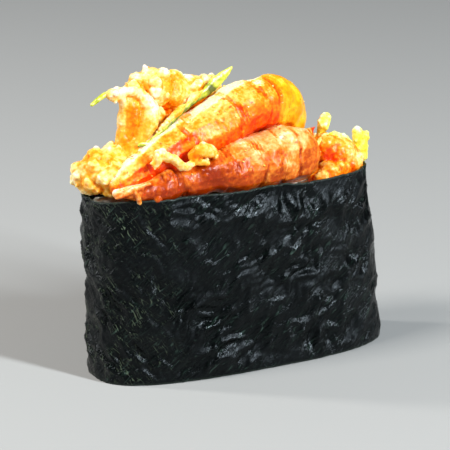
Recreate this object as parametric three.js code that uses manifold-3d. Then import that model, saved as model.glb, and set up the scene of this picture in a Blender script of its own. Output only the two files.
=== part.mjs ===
// A gunkan sushi: a block of pressed rice in a standing band of toasted nori, heaped with shrimp,
// batter lumps and herb stems fried in tempura batter. Millimetres, +Z up. The origin is the middle
// of the bottom on the ground, +X runs along the length, and the front is at -Y.
import * as THREE from "three";
import { ImprovedNoise } from "three/addons/math/ImprovedNoise.js";
import { mergeVertices } from "three/addons/utils/BufferGeometryUtils.js";
import Module from "manifold-3d";

const wasm = await Module();
wasm.setup();

// ---- Driving dimensions -------------------------------------------------------------------------

const CLEARANCE = 0.3; // between two pieces that touch

const BAND_LENGTH = 57.6; // outside, at the foot
const BAND_WIDTH = 22.6;
const BAND_HEIGHT = 33; // the strips are cut 3 to 3.5 cm wide
const SHEET = 0.4; // one nori sheet with a little rice starch behind it
const PLAN_POWER = 2.75; // of the superellipse in plan: 2 is an ellipse, more is squarer
const TOP_SCALE = 0.961; // the band draws in a little towards its rim
const TOP_SHIFT = -2.1; // and leans this far towards -X
const RIM_WAVE = 0.45; // the rim rises and falls by this much
const LAP_START = 0.32; // where the strip begins, in turns counted from +X round to the back
const LAP_TURNS = 0.1; // how far the strip's end runs on over its beginning
const BULGE = 0.35; // the sheet swells and sinks this far where rice presses or leaves a hollow
const BULGE_PITCH = 10; // distance over which it does so
const BAND_STATIONS = 70; // steps along the strip
const BAND_ROWS = 5; // steps up the strip

const RICE_TOP = 31; // the rice is a little lower than the rim
const RICE_LUMP = 0.5; // height of the unevenness of the rice
const GRAIN_PITCH = 4.5; // distance between the bumps of neighbouring grains

// ---- Geometry helpers ---------------------------------------------------------------------------

const noise = new ImprovedNoise();

// A closed three.js geometry as a solid: equal vertices are merged, and the slivers at the poles,
// which have two corners left, are dropped.
function solidFrom(geometry) {
  const bare = new THREE.BufferGeometry();
  bare.setAttribute("position", geometry.getAttribute("position"));
  bare.setIndex(geometry.index);
  const merged = mergeVertices(bare, 1e-4);
  const index = merged.index.array;
  const triangles = [];
  for (let i = 0; i < index.length; i += 3) {
    const corners = [index[i], index[i + 1], index[i + 2]];
    if (new Set(corners).size === 3) triangles.push(...corners);
  }
  return new wasm.Manifold(
    new wasm.Mesh({
      numProp: 3,
      vertProperties: merged.getAttribute("position").array,
      triVerts: Uint32Array.from(triangles),
    }),
  );
}

function geometryFrom(solid) {
  const { vertProperties, triVerts } = solid.getMesh();
  const geometry = new THREE.BufferGeometry();
  geometry.setAttribute("position", new THREE.BufferAttribute(vertProperties, 3));
  geometry.setIndex(new THREE.BufferAttribute(triVerts, 1));
  geometry.computeVertexNormals();
  return geometry;
}

// Moves every vertex of a geometry by move(vertex).
function reshape(geometry, move) {
  const position = geometry.getAttribute("position");
  const vertex = new THREE.Vector3();
  for (let i = 0; i < position.count; i++) {
    vertex.fromBufferAttribute(position, i);
    move(vertex);
    position.setXYZ(i, vertex.x, vertex.y, vertex.z);
  }
  return geometry;
}

const vector = (point) => new THREE.Vector3(...point);
const smoothstep = (value, from, to) => THREE.MathUtils.smoothstep(value, from, to);

// ---- The band and the rice ----------------------------------------------------------------------

// A point of the plan outline, offset outwards from the band's inner face.
function planPoint(turns, offset) {
  const angle = turns * 2 * Math.PI;
  const bow = (value) => Math.sign(value) * Math.abs(value) ** (2 / PLAN_POWER);
  const halfLength = BAND_LENGTH / 2 - SHEET + offset;
  const halfWidth = BAND_WIDTH / 2 - SHEET + offset;
  return new THREE.Vector2(halfLength * bow(Math.cos(angle)), halfWidth * bow(Math.sin(angle)));
}

// Turns fractions that step evenly along the outline, although the superellipse's own angle doesn't.
const outline = new THREE.Path();
const OUTLINE_FINENESS = 2000;
outline.setFromPoints(
  Array.from({ length: OUTLINE_FINENESS + 1 }, (_, i) => planPoint(i / OUTLINE_FINENESS, 0)),
);
function evenTurns(share) {
  const point = outline.getPointAt(((share % 1) + 1) % 1);
  const squarer = (value, half) =>
    Math.sign(value) * Math.min(1, Math.abs(value / half)) ** (PLAN_POWER / 2);
  const across = squarer(point.y, BAND_WIDTH / 2 - SHEET);
  const along = squarer(point.x, BAND_LENGTH / 2 - SHEET);
  return Math.atan2(across, along) / (2 * Math.PI);
}

// The lean, the draw-in and the soft swells of the band, shared by all that lies against it.
function leanBand(vertex) {
  const rise = vertex.z / BAND_HEIGHT;
  const scale = THREE.MathUtils.lerp(1, TOP_SCALE, rise);
  const place = vertex.clone().divideScalar(BULGE_PITCH);
  const bulge = BULGE * noise.noise(place.x, place.y, place.z);
  vertex.x = vertex.x * (scale + bulge / (BAND_LENGTH / 2)) + TOP_SHIFT * rise;
  vertex.y *= scale + bulge / (BAND_WIDTH / 2);
}

// How much the rim stands above or below its mean height.
function rimWave(vertex) {
  return RIM_WAVE * noise.noise(vertex.x / 11, vertex.y / 11, 3.1);
}

// The wall that the strip makes: it starts on the inner lap and ends on the outer one. For a
// cutter, skin is the extra thickness outwards and grow is the clearance on the other faces.
function bandWall({ grow = 0, skin = 0 } = {}) {
  const lapOffset = SHEET + CLEARANCE;
  const inner = [];
  const outer = [];
  for (let i = 0; i <= BAND_STATIONS; i++) {
    const along = (i / BAND_STATIONS) * (1 + LAP_TURNS);
    const turns = evenTurns(LAP_START + along);
    const offset = lapOffset * smoothstep(along, 1 - LAP_TURNS, 1);
    inner.push(planPoint(turns, offset - grow));
    outer.push(planPoint(turns, offset + SHEET + skin));
  }
  const shape = new THREE.Shape([...inner, ...outer.reverse()]);
  const wall = new THREE.ExtrudeGeometry(shape, {
    depth: BAND_HEIGHT + grow,
    steps: BAND_ROWS,
    bevelEnabled: false,
  });
  return solidFrom(
    reshape(wall, (vertex) => {
      vertex.z += rimWave(vertex) * smoothstep(vertex.z, BAND_HEIGHT / 2, BAND_HEIGHT);
      leanBand(vertex);
    }),
  );
}

// The same wall as a closed ring, for cutting the topping: it has no lap, and it reaches far out.
function bandCutter() {
  const OUT = 8;
  const ring = new THREE.Shape();
  const hole = new THREE.Path();
  const points = (offset) =>
    Array.from({ length: BAND_STATIONS }, (_, i) =>
      planPoint(evenTurns(i / BAND_STATIONS), offset),
    );
  ring.setFromPoints(points(OUT));
  hole.setFromPoints(points(-CLEARANCE));
  ring.holes.push(hole);
  const wall = new THREE.ExtrudeGeometry(ring, {
    depth: BAND_HEIGHT + CLEARANCE,
    steps: BAND_ROWS,
    bevelEnabled: false,
  });
  return solidFrom(
    reshape(wall, (vertex) => {
      vertex.z += rimWave(vertex) * smoothstep(vertex.z, BAND_HEIGHT / 2, BAND_HEIGHT);
      leanBand(vertex);
    }),
  );
}

// The rice: a turned block with flat underside, stretched to the band's plan, with a bumpy top.
function riceBlock() {
  const SIDES = 44;
  const TOP_RINGS = 5;
  const EDGE = 0.05; // share of the radius over which the top edge rounds off
  const profile = [new THREE.Vector2(0, 0), new THREE.Vector2(1, 0), new THREE.Vector2(1, 0.5)];
  for (let ring = 0; ring <= TOP_RINGS; ring++)
    profile.push(new THREE.Vector2((1 - EDGE * 0.3) * (1 - ring / TOP_RINGS), 1));
  const turned = new THREE.LatheGeometry(profile, SIDES).rotateX(Math.PI / 2);
  return solidFrom(
    reshape(turned, (vertex) => {
      const radius = Math.hypot(vertex.x, vertex.y);
      const share = Math.atan2(vertex.y, vertex.x) / (2 * Math.PI);
      const edge = planPoint(evenTurns(share), -CLEARANCE);
      const top = vertex.z > 0.9;
      vertex.set(edge.x * radius, edge.y * radius, vertex.z * RICE_TOP);
      if (top)
        vertex.z += RICE_LUMP * noise.noise(vertex.x / GRAIN_PITCH, vertex.y / GRAIN_PITCH, 0.5);
      leanBand(vertex);
    }),
  );
}

// ---- The topping --------------------------------------------------------------------------------

// A long piece that bends, such as a shrimp or a stem. path lists the points of its middle line and
// radii its radius at each of them; flat squeezes it upright, rough is the height of its batter
// lumps and ribs the depth of its shell segments, ribCount of them.
function bentPiece({ path, radii, sides = 12, rings = 18, flat = 1, rough = 0, ribs = 0, ribCount = 6 }) {
  const curve = new THREE.CatmullRomCurve3(path.map(vector));
  const swell = new THREE.SplineCurve(radii.map((radius, i) => new THREE.Vector2(i, radius)));
  const END = 0.09; // share of the length over which each end rounds off
  return (grow) => {
    const profile = [];
    for (let ring = 0; ring <= rings; ring++) {
      const along = (1 - Math.cos((ring / rings) * Math.PI)) / 2;
      const fromEnd = Math.min(1, Math.min(along, 1 - along) / END);
      profile.push(new THREE.Vector2(Math.sqrt(1 - (1 - fromEnd) ** 2), along));
    }
    const turned = new THREE.LatheGeometry(profile, sides);
    const solid = reshape(turned, (vertex) => {
      const along = THREE.MathUtils.clamp(vertex.y, 0, 1);
      const middle = curve.getPoint(along);
      const tangent = curve.getTangent(along);
      const upward = new THREE.Vector3(0, 1, 0).cross(tangent).normalize();
      const side = new THREE.Vector3().crossVectors(tangent, upward);
      const outward = side.multiplyScalar(vertex.x).addScaledVector(upward, vertex.z);
      const share = outward.length();
      const lumps = rough * noise.noise(middle.x / 3 + outward.x, middle.y / 3 + outward.y, outward.z);
      const rib = ribs * Math.cos(along * ribCount * 2 * Math.PI);
      const radius = swell.getPoint(along).y + (lumps + rib) * share + grow;
      vertex.copy(outward).multiplyScalar(radius);
      vertex.z *= flat;
      vertex.add(middle);
      // The two poles move out along the piece, so that it also grows at its ends.
      if (share < 1e-6) vertex.addScaledVector(tangent, along < 0.5 ? -grow : grow);
    });
    return solidFrom(solid);
  };
}

const SMALL_BALL = 4.25; // up to this radius a ball has fewer faces

// A lump of batter: balls, each given as [x, y, z, radius], uneven and grown together.
function lumpPiece({ balls, rough = 0.16 }) {
  return (grow) => {
    const parts = balls.map(([x, y, z, radius]) => {
      const ball = new THREE.IcosahedronGeometry(1, radius > SMALL_BALL ? 2 : 1);
      reshape(ball, (vertex) => {
        const bump = noise.noise(vertex.x * 2 + x, vertex.y * 2 + y, vertex.z * 2 + z);
        vertex.multiplyScalar(radius * (1 + rough * bump) + grow);
        vertex.add(new THREE.Vector3(x, y, z));
      });
      return solidFrom(ball);
    });
    return parts.reduce((whole, part) => whole.add(part));
  };
}

// Several parts grown together into one piece.
const joined = (...makers) => (grow) =>
  makers.map((make) => make(grow)).reduce((whole, part) => whole.add(part));

const shrimpUpper = bentPiece({
  path: [[-25.5, -3, 36.2], [-18.1, -2.5, 38.6], [-7.9, -1.8, 42.0], [2.1, -1, 44.8], [8.4, 0.4, 44.2], [12.4, 3.2, 40.2]],
  radii: [1.6, 3.6, 4.1, 5.0, 4.7, 3.4],
  rings: 20,
  rough: 0.5,
  ribs: 0.12,
});

const shrimpFront = bentPiece({
  path: [[-27.4, -7.6, 34.0], [-18.7, -6.9, 35.2], [-10.8, -6.2, 36.0], [-2.5, -5.4, 36.2], [5.9, -4.8, 36.6], [13.4, -4.2, 36.4]],
  radii: [1.2, 2.6, 3.4, 4.7, 5.5, 5.4],
  rings: 20,
  rough: 0.4,
  ribs: 0.15,
  ribCount: 5,
});

const shrimpRight = lumpPiece({
  balls: [[16.2, -3.2, 34.4, 4.2], [19.6, -2.4, 33.6, 4.5], [22.6, -1, 32.8, 3.4]],
});

const lumpRight = lumpPiece({
  balls: [[19.6, 4.4, 33.2, 4.0], [23.8, 2.6, 31.8, 2.9]],
});

const shrimpBack = bentPiece({
  path: [[18.6, 5.4, 40.6], [16.5, 5.6, 36.4], [7.5, 5.6, 35.6], [-3, 5.6, 36], [-13, 5.2, 35.4], [-20, 4.6, 34.6]],
  radii: [0.7, 3.0, 4.6, 4.8, 4.2, 2.6],
  rough: 0.5,
});

const lumpLeft = lumpPiece({
  balls: [[-26.3, -0.6, 37.2, 3.9], [-23.6, 0.4, 38.0, 3.6], [-27.6, 1.6, 35.6, 2.9], [-24.2, -3.6, 35.6, 2.6], [-24.4, 4.2, 34.4, 2.8]],
});

const lumpTop = joined(
  lumpPiece({
    balls: [[-17.4, 3, 47.4, 2.2], [-13.3, 3, 48.0, 4.3], [-8.8, 4, 47.4, 4.2], [-4.6, 4.4, 46.2, 3.4]],
  }),
  bentPiece({ path: [[-16.8, 3, 54], [-16.3, 3, 51.6], [-15.6, 3, 49]], radii: [0.4, 1.1, 1.8], sides: 8, rings: 8 }),
);

const lumpBack = lumpPiece({
  balls: [[-14, 4.4, 40.8, 4.2], [-6.8, 5, 41.2, 4.2], [0.4, 5.4, 40.4, 4.2]],
});

const curlLeft = bentPiece({
  path: [[-21.2, 0.4, 38.4], [-19.3, 0.2, 42.6], [-19.2, 0, 46.6], [-21.4, 0, 49.4], [-24.2, 0, 50.4]],
  radii: [2.2, 2.6, 2.6, 1.9, 1.6],
  sides: 10,
  rings: 15,
  rough: 0.6,
});

const stemLong = bentPiece({
  path: [[-20.4, -3.2, 41.4], [-14.4, -2.4, 45.0], [-9.1, -0.6, 48.0], [-4.1, 0.6, 50.0], [-0.4, 1.2, 52.4]],
  radii: [0.6, 0.75, 0.8, 1.15, 0.35],
  sides: 8,
  rings: 16,
});

const stemThin = bentPiece({
  path: [[-27.9, 0, 48.8], [-25.2, 0.4, 50.2], [-22.4, 0.8, 50.6]],
  radii: [0.45, 0.6, 0.6],
  sides: 8,
  rings: 8,
});

const batterDrip = joined(
  bentPiece({
    path: [[-20.2, -7.4, 39.6], [-17.4, -7.8, 40.8], [-14.6, -8.6, 39.4], [-11.8, -9, 38.2], [-9.0, -8.8, 38.4]],
    radii: [0.9, 1.1, 1.1, 1.0, 0.7],
    sides: 8,
    rings: 14,
  }),
  lumpPiece({ balls: [[-11, -7.6, 40.2, 1.9]] }),
);

const sprigLeft = bentPiece({
  path: [[17.2, -0.6, 36.6], [17.5, -0.6, 38.6], [17.9, -0.6, 40.4], [18.2, -0.6, 42]],
  radii: [0.9, 0.85, 1.1, 0.7],
  sides: 8,
  rings: 10,
  rough: 0.5,
});

const sprigRight = lumpPiece({
  balls: [[23.9, 0, 34.4, 1.6], [24.0, 0.2, 36.2, 1.3], [24.6, 0.2, 37.6, 0.9]],
});

// ---- Assembly -----------------------------------------------------------------------------------

const BATTER = { roughness: 0.45, metalness: 0 };
const SHRIMP_COLOUR = 0xf2913f;
const BATTER_COLOUR = 0xf8cf6a;
const STEM_COLOUR = 0x9aa63c;

// The topping in the order in which it keeps its full form: each piece is cut back, with
// clearance, from those before it, as soft batter settles against its neighbours.
const topping = [
  ["shrimp_upper", shrimpUpper, SHRIMP_COLOUR],
  ["stem_long", stemLong, STEM_COLOUR],
  ["stem_thin", stemThin, STEM_COLOUR],
  ["shrimp_front", shrimpFront, SHRIMP_COLOUR],
  ["batter_drip", batterDrip, BATTER_COLOUR],
  ["curl_left", curlLeft, BATTER_COLOUR],
  ["sprig_left", sprigLeft, BATTER_COLOUR],
  ["sprig_right", sprigRight, BATTER_COLOUR],
  ["lump_top", lumpTop, BATTER_COLOUR],
  ["lump_left", lumpLeft, BATTER_COLOUR],
  ["shrimp_right", shrimpRight, SHRIMP_COLOUR],
  ["shrimp_back", shrimpBack, SHRIMP_COLOUR],
  ["lump_right", lumpRight, BATTER_COLOUR],
  ["lump_back", lumpBack, BATTER_COLOUR],
];

const sushi = new THREE.Group();

function addPiece(name, solid, color, finish) {
  const material = new THREE.MeshStandardMaterial({ color, ...finish });
  const mesh = new THREE.Mesh(geometryFrom(solid), material);
  mesh.name = name;
  sushi.add(mesh);
}

// The largest of the bodies that a cut leaves.
const largest = (solid) => solid.decompose().sort((a, b) => b.volume() - a.volume())[0];

let taken = bandCutter();
let toppingSpace = null;
for (const [name, make, color] of topping) {
  addPiece(name, largest(make(0).subtract(taken)), color, BATTER);
  const grown = make(CLEARANCE);
  taken = taken.add(grown);
  toppingSpace = toppingSpace ? toppingSpace.add(grown) : grown;
}
addPiece("rice_block", largest(riceBlock().subtract(toppingSpace)), 0xf4f1e6, { roughness: 0.4, metalness: 0 });
addPiece("nori_band", bandWall(), 0x10160f, { roughness: 0.5, metalness: 0 });

export default sushi;
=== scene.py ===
# %% [markdown]
# # A gunkan sushi with fried shrimp
#
# Gunkan means battleship: an upright block of sushi rice in a hull of toasted seaweed, the nori,
# with a heap of topping as its deck. Here the deck is tempura: two long shrimp, a chunk of a third,
# lumps of batter and two green stems. The construction is loaded first as a fixed frame. Every
# visible piece is then modelled in its place and takes over from the plain solid that stands there.

# %% Load the fixed frame
import math
import random

import bmesh
import bpy
import numpy as np
from mathutils import Matrix, Vector, noise


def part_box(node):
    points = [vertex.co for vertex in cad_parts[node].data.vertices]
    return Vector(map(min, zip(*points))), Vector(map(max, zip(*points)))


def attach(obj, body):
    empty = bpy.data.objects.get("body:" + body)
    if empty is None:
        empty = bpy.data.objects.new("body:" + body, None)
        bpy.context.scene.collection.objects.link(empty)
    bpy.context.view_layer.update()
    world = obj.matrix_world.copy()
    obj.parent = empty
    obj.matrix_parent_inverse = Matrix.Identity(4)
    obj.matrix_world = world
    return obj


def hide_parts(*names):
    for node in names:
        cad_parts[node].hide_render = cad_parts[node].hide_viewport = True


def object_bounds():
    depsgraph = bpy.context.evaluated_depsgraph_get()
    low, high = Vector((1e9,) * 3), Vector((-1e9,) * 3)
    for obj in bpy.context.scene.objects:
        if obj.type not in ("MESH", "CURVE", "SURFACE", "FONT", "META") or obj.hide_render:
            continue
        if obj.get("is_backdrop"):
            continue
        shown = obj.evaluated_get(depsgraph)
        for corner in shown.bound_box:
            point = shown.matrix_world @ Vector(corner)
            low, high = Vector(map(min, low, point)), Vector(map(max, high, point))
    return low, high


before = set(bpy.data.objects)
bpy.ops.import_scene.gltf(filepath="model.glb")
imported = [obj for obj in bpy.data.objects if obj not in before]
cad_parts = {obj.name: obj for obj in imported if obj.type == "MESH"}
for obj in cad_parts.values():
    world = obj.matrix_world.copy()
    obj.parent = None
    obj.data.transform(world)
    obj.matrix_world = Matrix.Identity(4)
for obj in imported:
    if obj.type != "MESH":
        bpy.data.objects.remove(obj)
cad_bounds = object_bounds()
MM = 0.001
print("frame nodes:", sorted(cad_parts))

# %% [markdown]
# ## Camera, light and floor
#
# Food is lit from the side and a little from behind, so that its bumps cast small shadows and its
# thin edges glow. A long lens from a low angle keeps the block's edges straight. The standard view
# transform keeps the yellows and oranges as strong as they are in the real topping.

# %% Camera
CAMERA_AZIMUTH = math.radians(-28)  # from straight in front, towards the left end
CAMERA_ELEVATION = math.radians(17.3)
CAMERA_DISTANCE = 467 * MM
AIM = Vector((-0.85, 2.75, 23.0)) * MM
SENSOR = 36  # mm, and so is the lens
LENS = 210.8

towards_camera = Vector((
    math.sin(CAMERA_AZIMUTH) * math.cos(CAMERA_ELEVATION),
    -math.cos(CAMERA_AZIMUTH) * math.cos(CAMERA_ELEVATION),
    math.sin(CAMERA_ELEVATION),
))
camera_data = bpy.data.cameras.new("camera")
camera_data.lens = LENS
camera_data.sensor_width = SENSOR
camera_data.clip_start = 10 * MM
camera = bpy.data.objects.new("camera", camera_data)
bpy.context.scene.collection.objects.link(camera)
camera.location = AIM + towards_camera * CAMERA_DISTANCE
camera.rotation_euler = towards_camera.to_track_quat("Z", "Y").to_euler()
bpy.context.scene.camera = camera
bpy.context.scene.view_settings.view_transform = "Standard"
print("camera at", tuple(round(value, 3) for value in camera.location))

# %% [markdown]
# Three soft boxes light it. The key stands high at the left and models the batter. The edge light,
# low behind the left end, makes thin pieces glow. The strip at the right is narrow and bright, and
# it is what the half-glossy nori mirrors as glints. A pale surround fills the shadows a little.

# %% Lights
BLOCK_MIDDLE = Vector((0, 0, 16.5)) * MM
WORLD_TINT = (0.86, 0.9, 1.0, 1)
WORLD_STRENGTH = 0.13


def add_light(name, azimuth, elevation, distance, size, power, tint):
    """A softbox, width by height, that looks at the block from the given direction (degrees, metres)."""
    data = bpy.data.lights.new(name, "AREA")
    data.shape = "RECTANGLE"
    data.size, data.size_y = size
    data.energy = power
    data.color = tint
    light = bpy.data.objects.new(name, data)
    bpy.context.scene.collection.objects.link(light)
    turn, rise = math.radians(azimuth), math.radians(elevation)
    direction = Vector((math.sin(turn) * math.cos(rise), -math.cos(turn) * math.cos(rise), math.sin(rise)))
    light.location = BLOCK_MIDDLE + direction * distance
    light.rotation_euler = direction.to_track_quat("Z", "Y").to_euler()


add_light("key", -88, 54, 0.55, (0.16, 0.16), 2.4, (1.0, 0.98, 0.95))
add_light("edge", -126, 26, 0.6, (0.05, 0.3), 2.0, (1.0, 0.99, 0.97))
add_light("strip", 24, 34, 0.7, (0.05, 0.46), 8.4, (0.88, 0.95, 1.0))

world = bpy.data.worlds.new("studio")
world.use_nodes = True
surround = world.node_tree.nodes["Background"]
surround.inputs["Color"].default_value = WORLD_TINT
surround.inputs["Strength"].default_value = WORLD_STRENGTH
bpy.context.scene.world = world
print("three soft lights and a pale surround")

# %% [markdown]
# ## Small tools
#
# Colours are written as they look on a screen, in sRGB hex, and one function turns them into the
# linear values that shaders work with. A second one adds a shader node with its settings and links.
# Two short ones fill in the stops of a colour ramp and start an empty material.


# %% Colour and node helpers
IN_MM = (1000, 1000, 1000)  # Object coordinates are metres, and this scale turns them to mm


def colour(code):
    """A linear RGBA colour from an sRGB hex code such as F2A03C."""
    channels = [int(code[i:i + 2], 16) / 255 for i in (0, 2, 4)]
    linear = [c / 12.92 if c <= 0.04045 else ((c + 0.055) / 1.055) ** 2.4 for c in channels]
    return (*linear, 1.0)


def add(tree, kind, inputs=None, **settings):
    """Adds a shader node, sets its properties, and sets its inputs or links them to sockets."""
    node = tree.nodes.new("ShaderNode" + kind)
    for name, value in settings.items():
        setattr(node, name, value)
    for socket, value in (inputs or {}).items():
        if isinstance(value, bpy.types.NodeSocket):
            tree.links.new(value, node.inputs[socket])
        else:
            node.inputs[socket].default_value = value
    return node


def set_ramp(node, *stops):
    """Gives a Color Ramp node its stops, each a place from 0 to 1 and a hex colour."""
    elements = node.color_ramp.elements
    while len(elements) < len(stops):
        elements.new(1.0)
    for element, (place, code) in zip(elements, stops):
        element.position = place
        element.color = colour(code)
    return node


def new_material(name):
    """An empty node material and its output node's surface socket."""
    material = bpy.data.materials.new(name)
    material.use_nodes = True
    material.node_tree.nodes.clear()
    output = add(material.node_tree, "OutputMaterial")
    return material, material.node_tree, output.inputs["Surface"]


print("middle grey 808080 is", round(colour("808080")[0], 3), "in linear light")

# %% [markdown]
# ## The floor
#
# A plain pale sheet of matt card.

# %% Floor
FLOOR_REACH = 3  # metres from the middle to each side
floor_material, tree, surface = new_material("pale_matt_card")
card = add(tree, "BsdfPrincipled", {"Base Color": colour("A0A09E"), "Roughness": 0.75})
tree.links.new(card.outputs[0], surface)

floor_shape = bmesh.new()
bmesh.ops.create_grid(floor_shape, x_segments=1, y_segments=1, size=FLOOR_REACH)
floor_mesh = bpy.data.meshes.new("floor")
floor_shape.to_mesh(floor_mesh)
floor_shape.free()
floor_mesh.materials.append(floor_material)
floor = bpy.data.objects.new("floor", floor_mesh)
bpy.context.scene.collection.objects.link(floor)
floor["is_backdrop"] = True
print("floor laid")

# %% [markdown]
# ## Reading places from the frame
#
# A piece is placed by shares of the box of the solid that it replaces: 0 is the box's low side and
# 1 its high side. So each piece stays where the construction has it, whatever the size.


# %% Places and smooth lines
def stations(node, *points):
    """Points (x share, y share, z share, radius in mm) of a node's box as rows of x, y, z, radius
    in mm."""
    low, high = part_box(node)
    rows = []
    for share_x, share_y, share_z, radius in points:
        place = [low[i] + (high[i] - low[i]) * share for i, share in enumerate((share_x, share_y, share_z))]
        rows.append([value / MM for value in place] + [radius])
    return np.array(rows)


def smooth_line(rows, steps):
    """A Catmull-Rom curve through the rows, in even steps from the first row to the last."""
    padded = np.vstack([2 * rows[0] - rows[1], rows, 2 * rows[-1] - rows[-2]])
    line = []
    for t in np.linspace(0, len(rows) - 1, steps):
        i = min(int(t), len(rows) - 2)
        f = t - i
        a, b, c, d = padded[i:i + 4]
        line.append(0.5 * (2 * b + (c - a) * f + (2 * a - 5 * b + 4 * c - d) * f ** 2
                           + (3 * b - a - 3 * c + d) * f ** 3))
    return np.array(line)


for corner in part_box("shrimp_upper"):
    print("upper shrimp's box, mm:", [round(value / MM, 1) for value in corner])

# %% [markdown]
# ## How the fried pieces are shaped
#
# A sculptor would press small balls of clay together and then smooth and roughen the skin. The same
# works here. A string of overlapping beads makes a shrimp, a ball with knobs makes a lump, and a
# voxel remesh fuses them into one closed skin. Then every point of the skin moves in or out along
# its normal by noise of a few sizes: the wrinkles, the blisters and the fine crumb of the batter.

# %% Beads and fusing
VOXEL = 0.17  # mm, the fineness of the fused skins


def add_bead(shape, centre, radius, squash=(1, 1, 1), detail=2):
    """One bead of a soft shape: centre in mm, radius in mm."""
    place = Matrix.Translation(Vector(centre[:3]) * MM) @ Matrix.Diagonal((*squash, 1))
    bmesh.ops.create_icosphere(shape, subdivisions=detail, radius=radius * MM, matrix=place)


def add_string(shape, line, squash=(1, 1, 1)):
    """Overlapping beads along a smooth line."""
    for x, y, z, radius in line:
        add_bead(shape, (x, y, z), radius, squash)


def add_knobs(shape, centre, radius, count, sizes, dice, reach=0.95):
    """Small beads all over a ball, as batter drops that stuck to it."""
    for _ in range(count):
        way = Vector((dice.gauss(0, 1), dice.gauss(0, 1), dice.gauss(0, 1))).normalized()
        place = Vector(centre[:3]) + way * radius * reach
        add_bead(shape, place, dice.uniform(*sizes), detail=1)


def finish_modifiers(piece):
    """Applies a piece's modifiers to its mesh."""
    evaluated = piece.evaluated_get(bpy.context.evaluated_depsgraph_get())
    finished = bpy.data.meshes.new_from_object(evaluated)
    piece.modifiers.clear()
    piece.data = finished


def new_piece(name, shape):
    """A scene object from a bmesh."""
    mesh = bpy.data.meshes.new(name)
    shape.to_mesh(mesh)
    shape.free()
    piece = bpy.data.objects.new(name, mesh)
    bpy.context.scene.collection.objects.link(piece)
    return piece


def fuse(name, shape, voxel=VOXEL, soften=3):
    """Fuses overlapping beads into one skin and softens the joints between them."""
    piece = new_piece(name, shape)
    remesh = piece.modifiers.new("fuse", "REMESH")
    remesh.mode = "VOXEL"
    remesh.voxel_size = voxel * MM
    smooth = piece.modifiers.new("soften", "SMOOTH")
    smooth.iterations = soften
    finish_modifiers(piece)
    return piece


print("skins are fused to", VOXEL, "mm")

# %% [markdown]
# A fused skin is read as rows of numbers, one row for each vertex, because sums on whole rows are
# fast. Noise is taken at places in mm, so that a wrinkle has its real size on every piece.


# %% Reading a skin
def read(mesh, field):
    """The vertices' co or normal as rows."""
    values = np.empty(len(mesh.vertices) * 3)
    mesh.vertices.foreach_get(field, values)
    return values.reshape(-1, 3)


def edge_ends(mesh):
    """The two vertices of each edge as rows."""
    ends = np.empty(len(mesh.edges) * 2, dtype=np.int32)
    mesh.edges.foreach_get("vertices", ends)
    return ends.reshape(-1, 2)


def relax(values, ends, rounds):
    """Averages each vertex's value with its neighbours', again and again."""
    share = np.bincount(ends.ravel(), minlength=len(values)).reshape(-1, *[1] * (values.ndim - 1))
    for _ in range(rounds):
        total = np.zeros_like(values)
        np.add.at(total, ends[:, 0], values[ends[:, 1]])
        np.add.at(total, ends[:, 1], values[ends[:, 0]])
        values = 0.5 * values + 0.5 * total / share
    return values


def sample(piece, function):
    """One value of function(place in mm) for each vertex."""
    return np.array([function(Vector(place) / MM) for place in read(piece.data, "co")])


def swells(piece, size):
    """Smooth noise of the given size in mm, from about -1 to 1, for each vertex."""
    return sample(piece, lambda place: noise.noise(place / size))


def along_line(piece, line):
    """For each vertex, how far along the line its nearest point lies, from 0 to 1."""
    places = read(piece.data, "co") / MM
    gaps = np.linalg.norm(places[:, None, :] - line[None, :, :3], axis=2)
    return np.argmin(gaps, axis=1) / (len(line) - 1)


def gap_to(piece, line):
    """How far each vertex is from the skin of a string of beads, in mm."""
    places = read(piece.data, "co") / MM
    gaps = np.linalg.norm(places[:, None, :] - line[None, :, :3], axis=2) - line[None, :, 3]
    return gaps.min(axis=1)


def facing(piece, direction):
    """How far each vertex faces a direction, from -1 to 1."""
    return read(piece.data, "normal") @ np.array(Vector(direction).normalized())


def ridges(piece, rounds=14, height=0.25):
    """How far each vertex stands out of the skin around it: -1 in a crease, 1 on a ridge."""
    mesh = piece.data
    places = read(mesh, "co")
    around = relax(places, edge_ends(mesh), rounds)
    out = np.einsum("ij,ij->i", places - around, read(mesh, "normal"))
    return np.clip(out / (height * MM), -1, 1)


def smooth_share(values, low, high):
    """0 below low, 1 above high, and a smooth rise between."""
    t = np.clip((values - low) / (high - low), 0, 1)
    return t * t * (3 - 2 * t)


print("skins can be read")

# %% [markdown]
# Two things change a skin: a push along its normals, and numbers kept on its vertices for the
# material.


# %% Changing a skin
def push(piece, lifts):
    """Moves each vertex along its normal by its lift in mm."""
    mesh = piece.data
    places, normals = read(mesh, "co"), read(mesh, "normal")
    mesh.vertices.foreach_set("co", (places + normals * lifts[:, None] * MM).ravel())
    mesh.update()


def keep(piece, name, values):
    """Stores one number for each vertex, for the material to read."""
    attribute = piece.data.attributes.new(name, "FLOAT", "POINT")
    attribute.data.foreach_set("value", np.clip(values, 0, 1).astype(np.float32))


def hand_over(piece, slot, material, *nodes):
    """Gives a finished piece its material and body, and lets it stand for its solids."""
    piece.data.materials.clear()
    piece.data.materials.append(material)
    piece.data.shade_smooth()
    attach(piece, "root")
    if nodes:
        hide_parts(*nodes)
    print(piece.name, len(piece.data.polygons), "faces")


print("skins can be changed and handed over")
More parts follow.
